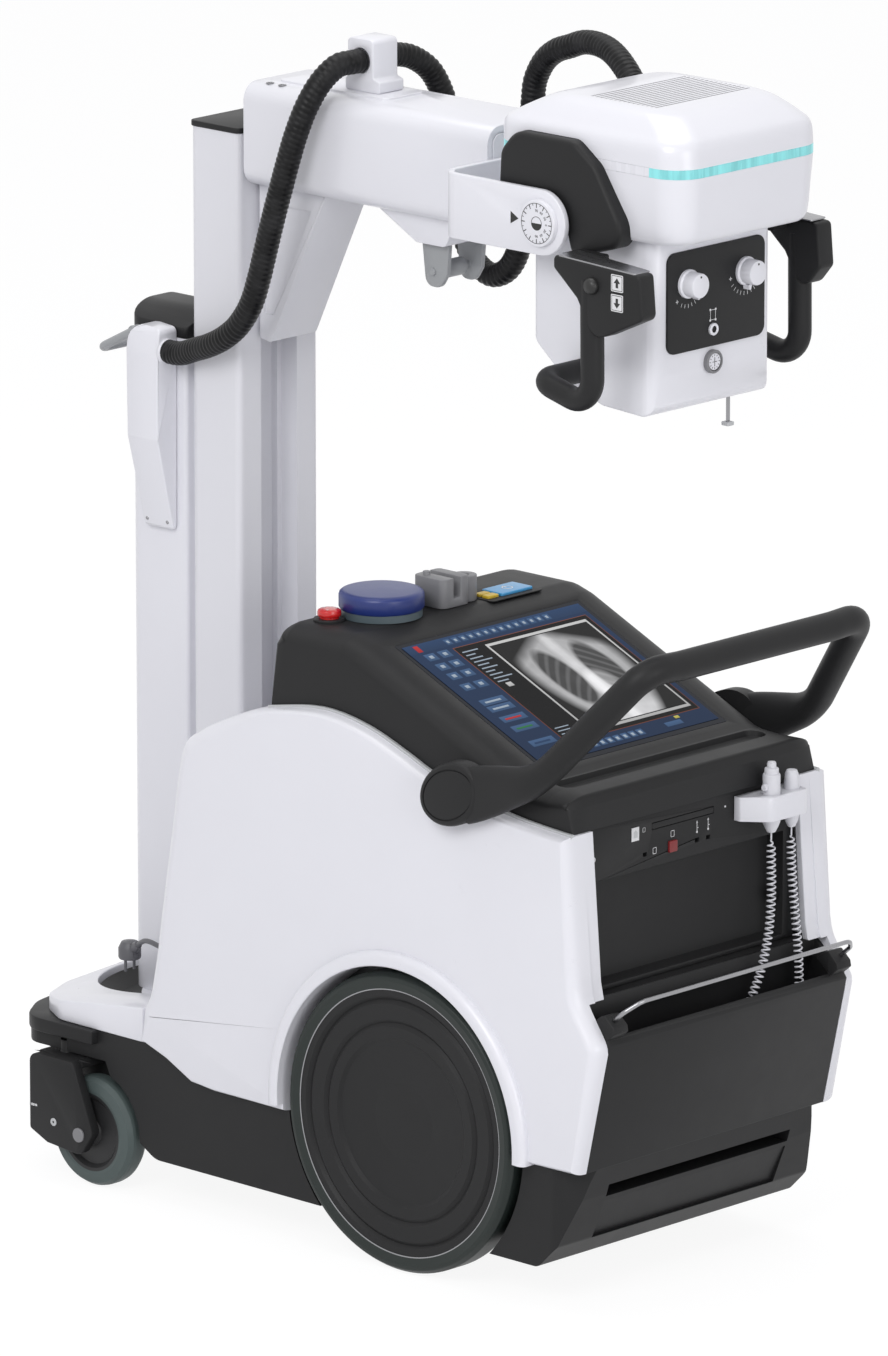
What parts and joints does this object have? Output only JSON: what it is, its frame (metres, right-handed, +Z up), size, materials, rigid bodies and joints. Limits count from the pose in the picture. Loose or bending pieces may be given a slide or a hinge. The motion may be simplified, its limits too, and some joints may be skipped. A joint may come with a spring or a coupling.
{
  "type": "mobile x-ray unit",
  "caption": "Battery driven mobile x-ray unit: white cart with swivel castors and large drive wheels, turning column, telescopic arm, tilting tube head, console and detector bin.",
  "frame": {"origin": "on the floor, under the middle of the bounding box", "axes": "+X to the rear, where the push handle is; +Y to the machine's right side; +Z up"},
  "size_m": [1.3738, 0.665, 1.868],
  "materials": {
    "white_cover": "satin moulded white",
    "white_metal": "satin powder coat",
    "dark_plastic": "fine grained charcoal",
    "black_plastic": "matte black",
    "tyre_rubber": "matte rubber",
    "castor_rubber": "matte grey green",
    "cast_metal": "cast, grey",
    "wire_metal": "bright wire",
    "battery": "plain",
    "screen_glass": "glossy display",
    "blue_lid": "satin cobalt blue",
    "grey_plastic": "satin grey",
    "red_button": "glossy red",
    "keypad_film": "printed film",
    "light_lens": "lit lens",
    "hose_rubber": "corrugated black",
    "white_cord": "satin white"
  },
  "bodies": {
    "cart": {"chassis": "dark_plastic", "battery_block": "battery", "body_shell": "white_cover", "cowl_left": "white_cover", "cowl_right": "white_cover", "front_deck": "white_cover", "front_bumper": "black_plastic", "recess_ring": "dark_plastic", "console": "dark_plastic", "screen": "screen_glass", "dock_post": "cast_metal", "canister": "grey_plastic", "canister_lid": "blue_lid", "stop_button": "red_button", "keypad": "keypad_film", "push_handle": "dark_plastic", "rear_panel": "dark_plastic", "detector_bin": "dark_plastic", "bin_rail": "wire_metal", "switch_holder": "white_cover", "hand_switch": "white_cover", "curly_cord": "white_cord", "mains_plug": "grey_plastic", "mains_lead": "hose_rubber", "lead_gland": "black_plastic"},
    "wheel_left": {"tyre_left": "tyre_rubber", "hub_left": "dark_plastic"},
    "wheel_right": {"tyre_right": "tyre_rubber", "hub_right": "dark_plastic"},
    "castor_left": {"castor_fork_left": "dark_plastic"},
    "castor_right": {"castor_fork_right": "dark_plastic"},
    "castor_roller_left": {"castor_wheel_left": "castor_rubber"},
    "castor_roller_right": {"castor_wheel_right": "castor_rubber"},
    "column": {"column": "white_metal", "column_cap": "black_plastic", "column_cover": "white_cover", "cover_cap": "black_plastic", "hose_duct": "white_cover", "cover_handle": "wire_metal", "hose_column": "hose_rubber"},
    "arm": {"arm_outer": "white_cover", "carriage": "white_metal", "dock_bracket": "cast_metal", "hose_clamp": "white_cover", "hose_loop": "hose_rubber"},
    "inner_arm": {"arm_inner": "white_metal", "hose_bridge": "hose_rubber"},
    "yoke": {"yoke": "white_metal", "hose_head": "hose_rubber"},
    "head": {"head_base": "white_cover", "light_band": "light_lens", "head_cover": "white_cover", "side_cover_left": "black_plastic", "side_cover_right": "black_plastic", "tilt_dial": "white_cover", "collimator": "white_cover", "control_panel": "black_plastic", "panel_knobs": "white_cover", "grip_left": "black_plastic", "grip_right": "black_plastic"}
  },
  "joints": [
    {"name": "wheel_left_spin", "type": "hinge", "parent": "cart", "child": "wheel_left", "pos_m": [0.206, -0.27, 0.235], "axis": [0, 1, 0], "continuous": true},
    {"name": "wheel_right_spin", "type": "hinge", "parent": "cart", "child": "wheel_right", "pos_m": [0.206, 0.27, 0.235], "axis": [0, 1, 0], "continuous": true},
    {"name": "castor_left_swivel", "type": "hinge", "parent": "cart", "child": "castor_left", "pos_m": [-0.53, -0.274, 0.21], "axis": [0, 0, 1], "continuous": true},
    {"name": "castor_right_swivel", "type": "hinge", "parent": "cart", "child": "castor_right", "pos_m": [-0.53, 0.274, 0.21], "axis": [0, 0, 1], "continuous": true},
    {"name": "castor_left_spin", "type": "hinge", "parent": "castor_left", "child": "castor_roller_left", "pos_m": [-0.462, -0.274, 0.088], "axis": [0, 1, 0], "continuous": true},
    {"name": "castor_right_spin", "type": "hinge", "parent": "castor_right", "child": "castor_roller_right", "pos_m": [-0.462, 0.274, 0.088], "axis": [0, 1, 0], "continuous": true},
    {"name": "column_turn", "type": "hinge", "parent": "cart", "child": "column", "pos_m": [-0.46, 0, 0.3], "axis": [0, 0, 1], "range_deg": [-270, 270]},
    {"name": "arm_lift", "type": "slide", "parent": "column", "child": "arm", "axis": [0, 0, 1], "range_m": [-0.43, 0.05], "deforming": ["hose_column"]},
    {"name": "arm_telescope", "type": "slide", "parent": "arm", "child": "inner_arm", "axis": [1, 0, 0], "range_m": [0, 0.3], "deforming": ["hose_loop"]},
    {"name": "head_roll", "type": "hinge", "parent": "inner_arm", "child": "yoke", "pos_m": [0.2, 0, 1.666], "axis": [1, 0, 0], "range_deg": [-90, 90], "deforming": ["hose_bridge"]},
    {"name": "head_tilt", "type": "hinge", "parent": "yoke", "child": "head", "pos_m": [0.405, 0, 1.65], "axis": [0, 1, 0], "range_deg": [-90, 20], "deforming": ["hose_head"]}
  ]
}
